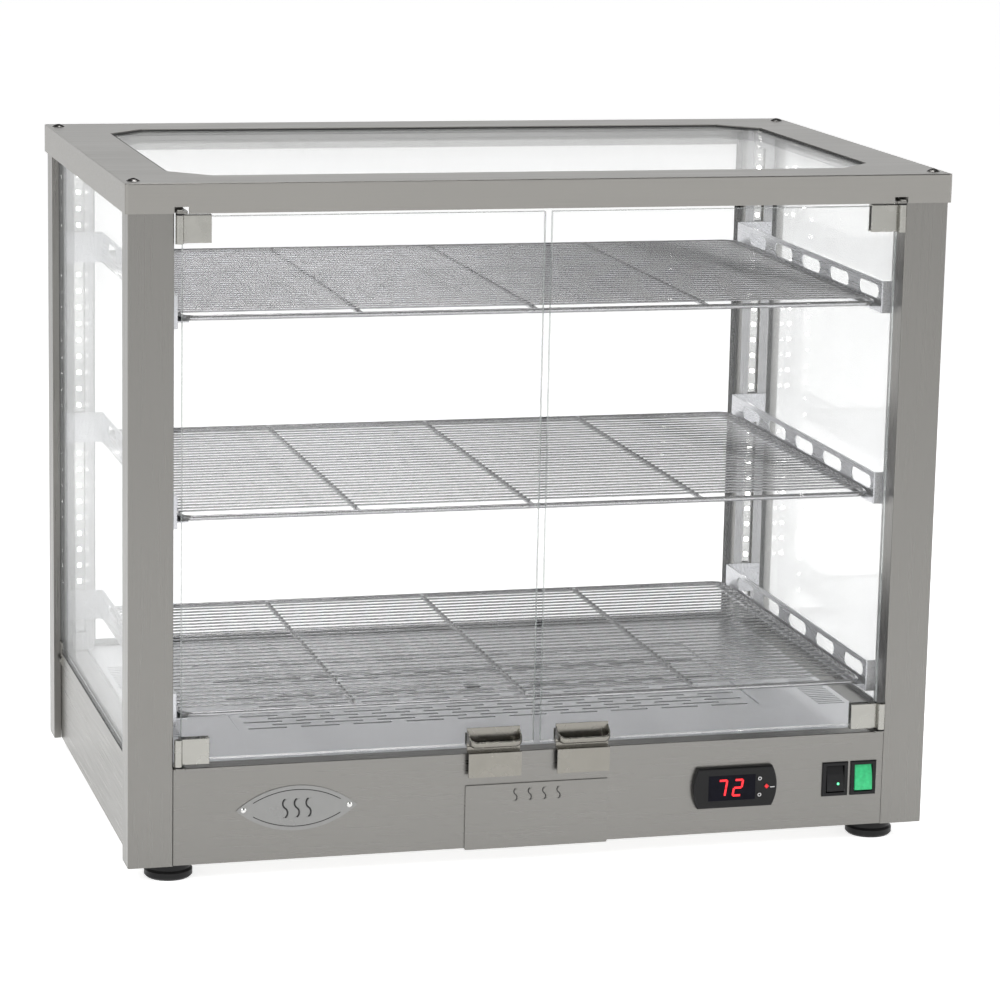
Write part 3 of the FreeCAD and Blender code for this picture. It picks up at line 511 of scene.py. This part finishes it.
def pane(name, node, bevel=EDGE_BEVEL):
    low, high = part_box(node)
    thin = min(range(3), key=lambda k: (high - low)[k])
    bm = bmesh.new()
    block(bm, low, high, bevel, segments=1)
    for face in bm.faces:
        face.material_index = 0 if abs(face.normal[thin]) > 0.99 else 1
        # The lower face of a door takes the painted highlight.
        if "door" in name and face.normal.z < -0.3:
            face.material_index = 2
    return finish_piece(name, bm, [clear_glass, edge_glass, painted_highlight_edge], BODY_OF[node], [node],
                        smooth_below=20)


for node in ("top_glass", "left_side_glass", "right_side_glass", "back_glass", "left_door_glass",
             "right_door_glass"):
    pane(node.replace("glass", "pane"), node)

# %% [markdown]
# ## Wire shelves
#
# A shelf is a round rod bent to a rectangle, three rods from front to back, and thin wires
# resistance-welded across them. The frame rod is made the way a bender makes it: pushed straight,
# then spun round each corner. Where a wire is welded it sinks a little into the rod below.

# %% Wire shelves
ROD_RADIUS = 2.5 * MM
WIRE_RADIUS = 1.0 * MM
BEND_RADIUS = 12.0 * MM
WIRE_COUNT = 32
FIRST_WIRE = 17.0 * MM
WELD_DEPTH = 0.4 * MM


def loop_edges(geom):
    """The new ring of points and the edges that join them."""
    points = [g for g in geom if isinstance(g, bmesh.types.BMVert)]
    ring = set(points)
    edges = [g for g in geom if isinstance(g, bmesh.types.BMEdge) and set(g.verts) <= ring]
    return points, edges


def bent_frame(bm, half_x, front, back, z, sides=14):
    """A rod bent to a rectangle: extruded along each side and spun round each corner."""
    place = Matrix.Translation((0, front, z)) @ Matrix.Rotation(math.radians(90), 4, "Y")
    points = bmesh.ops.create_circle(bm, segments=sides, radius=ROD_RADIUS, matrix=place)["verts"]
    edges = list({e for v in points for e in v.link_edges})
    heading = Vector((1, 0, 0))
    width, depth = half_x - BEND_RADIUS, back - front - 2 * BEND_RADIUS
    for corner, run in enumerate((width, depth, 2 * width, depth, width)):
        points, edges = loop_edges(bmesh.ops.extrude_edge_only(bm, edges=edges)["geom"])
        bmesh.ops.translate(bm, verts=points, vec=heading * run)
        if corner == 4:
            break
        inward = Vector((-heading.y, heading.x, 0))
        middle = sum((p.co for p in points), Vector()) / len(points)
        turned = bmesh.ops.spin(bm, geom=points + edges, cent=middle + inward * BEND_RADIUS, axis=(0, 0, 1),
                                angle=math.radians(90), steps=8, use_duplicate=False)
        points, edges = loop_edges(turned["geom_last"])
        heading = inward
    bmesh.ops.remove_doubles(bm, verts=bm.verts, dist=1e-6)
    bmesh.ops.recalc_face_normals(bm, faces=bm.faces)


def wire_shelf(level):
    low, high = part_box("grid_" + level)
    z = low.z + ROD_RADIUS
    half_x = high.x - ROD_RADIUS
    front, back = low.y + ROD_RADIUS, high.y - ROD_RADIUS
    bm = bmesh.new()
    bent_frame(bm, half_x, front, back, z)
    for x in (-half_x / 2, 0.0, half_x / 2):
        bar(bm, (x, front, z), (x, back, z), ROD_RADIUS * 0.96, 14)
    pitch = (back - front - 2 * FIRST_WIRE) / (WIRE_COUNT - 1)
    wire_z = z + ROD_RADIUS + WIRE_RADIUS - WELD_DEPTH
    for k in range(WIRE_COUNT):
        y = front + FIRST_WIRE + k * pitch
        bar(bm, (-half_x, y, wire_z), (half_x, y, wire_z), WIRE_RADIUS, 10)
    return finish_piece(level + "_wire_shelf", bm, chrome_plate, level + "_shelf",
                        ["grid_" + level])


for level in ("top", "middle", "bottom"):
    wire_shelf(level)

# %% [markdown]
# ## Lamp strips
#
# Behind each rear liner runs a reflector channel with a flexible strip of lamp chips, sixty to the
# metre. The channel is polished, so it reflects its chips.

# %% Lamp strips
CHIP_PITCH = 16.67 * MM
CHIP_HALF = 1.8 * MM
FIRST_CHIP = 23.0 * MM
CHIP_COUNT = 28
CHANNEL_HALF, CHANNEL_WALL = 8 * MM, 1 * MM
TAPE_HALF, TAPE_END = 5 * MM, 4 * MM


def lamp_strips():
    low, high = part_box("led_strips")
    centre_x, half = high.x - CHANNEL_HALF, CHANNEL_HALF
    channel, tape, chips = bmesh.new(), bmesh.new(), bmesh.new()
    for side in (-1, 1):
        x = side * centre_x
        back = high.y
        block(channel, (x - half, back - CHANNEL_WALL, low.z), (x + half, back, high.z), 0.2 * MM)
        for edge in (-1, 1):
            outer = x + edge * half
            inner = outer - edge * CHANNEL_WALL
            block(channel, (min(outer, inner), low.y, low.z),
                  (max(outer, inner), back - CHANNEL_WALL, high.z), 0.2 * MM)
        block(tape, (x - TAPE_HALF, back - 1.4 * MM, low.z + TAPE_END),
              (x + TAPE_HALF, back - 1.05 * MM, high.z - TAPE_END))
        for k in range(CHIP_COUNT):
            z = low.z + FIRST_CHIP + k * CHIP_PITCH
            block(chips, (x - CHIP_HALF, back - 3 * MM, z - CHIP_HALF),
                  (x + CHIP_HALF, back - 1.45 * MM, z + CHIP_HALF), 0.3 * MM, 1)
    finish_piece("lamp_channels", channel, polished_steel, "cabinet", ["led_strips"])
    finish_piece("lamp_tape", tape, bright_screw, "cabinet")
    finish_piece("lamp_chips", chips, lamp_white, "cabinet")


lamp_strips()

# %% [markdown]
# ## Controller face
#
# The window shows two digits of seven segments each. A segment is a flat bar with pointed ends, and
# a digit is chosen by naming the segments that are lit. The whole digit leans a little, as such
# displays do. The bars lie just in front of the window so that they are never hidden by it.

# %% Controller face
SEGMENTS = {"top": (0, 1, True), "upper_left": (-0.5, 0.5, False), "upper_right": (0.5, 0.5, False),
            "middle": (0, 0, True), "lower_left": (-0.5, -0.5, False), "lower_right": (0.5, -0.5, False),
            "bottom": (0, -1, True)}
LIT = {"7": ("top", "upper_right", "lower_right"),
       "2": ("top", "upper_right", "middle", "lower_left", "bottom")}
DIGIT_WIDTH, DIGIT_HALF, STROKE, LEAN = 7.8 * MM, 7.6 * MM, 2.0 * MM, 0.15
DIGIT_PLACES = (("7", 13.4 * MM), ("2", 29.2 * MM))


def digit(bm, text):
    for name in LIT[text]:
        column, row, level = SEGMENTS[name]
        cx, cz = column * DIGIT_WIDTH, row * DIGIT_HALF
        length = (DIGIT_WIDTH if level else DIGIT_HALF) - 0.5 * MM
        half = (length / 2, STROKE / 2) if level else (STROKE / 2, length / 2)
        block(bm, (cx - half[0], -0.15 * MM, cz - half[1]), (cx + half[0], 0.15 * MM, cz + half[1]),
              0.1 * MM, 1)


def controller_face():
    low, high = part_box("controller_window")
    face_y = low.y - 0.12 * MM
    middle = (low.z + high.z) / 2
    bm = bmesh.new()
    for text, offset in DIGIT_PLACES:
        x = low.x + offset
        one = bmesh.new()
        digit(one, text)
        lean = Matrix.Identity(4)
        lean[0][2] = LEAN
        bmesh.ops.transform(one, verts=one.verts, matrix=Matrix.Translation((x, face_y, middle)) @ lean)
        mesh = bpy.data.meshes.new("digit")
        one.to_mesh(mesh)
        one.free()
        bm.from_mesh(mesh)
        bpy.data.meshes.remove(mesh)
    finish_piece("temperature_digits", bm, digit_red, "cabinet")


controller_face()

# %% [markdown]
# ## Keys
#
# The three keys are small black pins. A white ring is printed on the up and down keys, and the set key
# carries a red diamond. Each mark rides with its own key, so it moves in when the key is pressed.

# %% Keys
RING_RADIUS, RING_WIDTH = 1.45 * MM, 0.35 * MM
KEY_BEVEL = 0.3 * MM


def pin(node):
    """The round key itself, with a soft front edge."""
    low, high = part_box(node)
    middle = (low + high) / 2
    bm = bmesh.new()
    bar(bm, (middle.x, low.y, middle.z), (middle.x, high.y, middle.z), (high.x - low.x) / 2, 32)
    front = [e for e in bm.edges if all(abs(v.co.y - low.y) < 1e-6 for v in e.verts)]
    bmesh.ops.bevel(bm, geom=front, offset=KEY_BEVEL, segments=2, profile=0.5, affect="EDGES", material=-1)
    finish_piece(node.replace("button", "key") + "_pin", bm, black_plastic, BODY_OF[node],
                 [node])
    return Vector((middle.x, low.y, middle.z))


def arc_strip(bm, centre, start, angle, radius, sides=6, steps=12):
    """A thin round strip bent along an arc in the front plane, from a start point through an angle."""
    centre, start = Vector(centre), Vector(start)
    outward = (start - centre).normalized()
    heading = Vector((0, 1, 0)).cross(outward)
    place = Matrix.Translation(start) @ heading.to_track_quat("Z", "Y").to_matrix().to_4x4()
    before = set(bm.edges)
    points = bmesh.ops.create_circle(bm, segments=sides, radius=radius, matrix=place)["verts"]
    edges = list({e for v in points for e in v.link_edges})
    bmesh.ops.spin(bm, geom=points + edges, cent=centre, axis=(0, 1, 0), angle=angle, steps=steps,
                   use_duplicate=False)
    bmesh.ops.remove_doubles(bm, verts=bm.verts, dist=1e-7)
    ends = [e for e in bm.edges if e not in before and e.is_boundary]
    if ends:
        bmesh.ops.holes_fill(bm, edges=ends, sides=0)
    bmesh.ops.recalc_face_normals(bm, faces=bm.faces)


def keys():
    for node, label in (("button_up", "up"), ("button_down", "down")):
        tip = pin(node)
        bm = bmesh.new()
        arc_strip(bm, tip, tip + Vector((RING_RADIUS, 0, 0)), math.tau, RING_WIDTH, steps=28)
        finish_piece(label + "_key_ring", bm, mark_white, BODY_OF[node])
    tip = pin("button_set")
    bm = bmesh.new()
    bar(bm, tip + Vector((0, -0.12 * MM, 0)), tip + Vector((0, 0.1 * MM, 0)), 2.4 * MM, 4)
    finish_piece("set_key_diamond", bm, red_key_painted_glow, BODY_OF["button_set"])
    low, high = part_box("controller_case")
    dash = bmesh.new()
    block(dash, (high.x - 7 * MM, low.y - 0.05 * MM, tip.z - 1.6 * MM),
          (high.x - 2.6 * MM, low.y + 0.15 * MM, tip.z - 0.9 * MM))
    finish_piece("bezel_dash", dash, mark_white, "cabinet")


keys()

# %% [markdown]
# ## Marks
#
# The drawer says what it holds with four wavy steam lines, pressed into the sheet and inked. The plate
# on the left of the panel is a plain one: the same wave, three times, between two arcs. Every line is
# a thin strip spun about the centre of its arc, sunk to the floor of its groove.

# %% Marks on the drawer and the plate
WAVE_SWEEP = 0.62
INK_THIN, INK_WIDE = 0.45 * MM, 0.75 * MM
DRAWER_GROOVE, PLATE_GROOVE = 0.6 * MM, 0.4 * MM
DRAWER_PITCH, DRAWER_WAVE_Z, DRAWER_WAVE = 14 * MM, 61 * MM, 12 * MM
PLATE_PITCH, PLATE_WAVE = 11 * MM, 18 * MM
RIM_INSET = 4 * MM


def wave(bm, x, z_low, height, y, radius):
    """Two arcs that bend opposite ways, one above the other."""
    half = height / 2
    sweep = half * WAVE_SWEEP
    reach = math.asin((half / 2) / sweep)
    for k, side in ((0, 1), (1, -1)):
        z = z_low + half * (k + 0.5)
        centre = Vector((x - side * sweep * math.cos(reach), y, z))
        start = centre + Vector((side * sweep * math.cos(reach), 0, sweep * math.sin(reach)))
        arc_strip(bm, centre, start, side * 2 * reach, radius, steps=10)


def marks():
    low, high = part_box("drawer_front")
    bm = bmesh.new()
    for k in range(4):
        wave(bm, DRAWER_PITCH * (k - 1.5), DRAWER_WAVE_Z, DRAWER_WAVE, low.y + DRAWER_GROOVE, INK_THIN)
    finish_piece("drawer_steam_lines", bm, mark_black, BODY_OF["drawer_front"])
    low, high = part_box("badge_plate")
    middle = (low + high) / 2
    floor_y = low.y + PLATE_GROOVE
    bm = bmesh.new()
    for k in (-1, 0, 1):
        wave(bm, middle.x + PLATE_PITCH * k, middle.z - PLATE_WAVE / 2, PLATE_WAVE, floor_y, INK_WIDE)
    finish_piece("plate_waves", bm, mark_black, "cabinet")
    bm = bmesh.new()
    tall, wide = (high.z - low.z) / 2, (high.x - low.x) / 2
    outer = (wide ** 2 + tall ** 2) / (2 * tall)
    inner, reach = outer - RIM_INSET, math.radians(30)
    for side in (1, -1):
        centre = Vector((middle.x, low.y, middle.z + side * (tall - outer)))
        start = centre + inner * Vector((-math.sin(reach), 0, side * math.cos(reach)))
        arc_strip(bm, centre, start, side * 2 * reach, 0.4 * MM, steps=32)
    finish_piece("plate_rim_lines", bm, mark_black, "cabinet")


marks()

# %% [markdown]
# ## Pilot lamp
#
# The main switch has a tiny green lamp in the lower half of its rocker. The rocker rests tilted, so the
# lamp is made square to the panel and then turned about the rocker's axle.

# %% Pilot lamp
AXLE_Y, AXLE_Z, REST_TILT = -240.5 * MM, 64.0 * MM, math.radians(-10)
LAMP_OUT, LAMP_IN, LAMP_DROP = 4.6 * MM, 3.6 * MM, 5 * MM


def pilot_lamp():
    low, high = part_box("rocker_main")
    x = (low.x + high.x) / 2 + 2.5 * MM
    bm = bmesh.new()
    bar(bm, (x, AXLE_Y - LAMP_OUT, AXLE_Z - LAMP_DROP), (x, AXLE_Y - LAMP_IN, AXLE_Z - LAMP_DROP), 1.2 * MM,
        20, end_radius=1.3 * MM)
    axle = Vector((0, AXLE_Y, AXLE_Z))
    tilt = Matrix.Translation(axle) @ Matrix.Rotation(REST_TILT, 4, "X") @ Matrix.Translation(-axle)
    bmesh.ops.transform(bm, matrix=tilt, verts=bm.verts)
    bmesh.ops.recalc_face_normals(bm, faces=bm.faces)
    finish_piece("pilot_lamp", bm, pilot_green, BODY_OF["rocker_main"])


pilot_lamp()
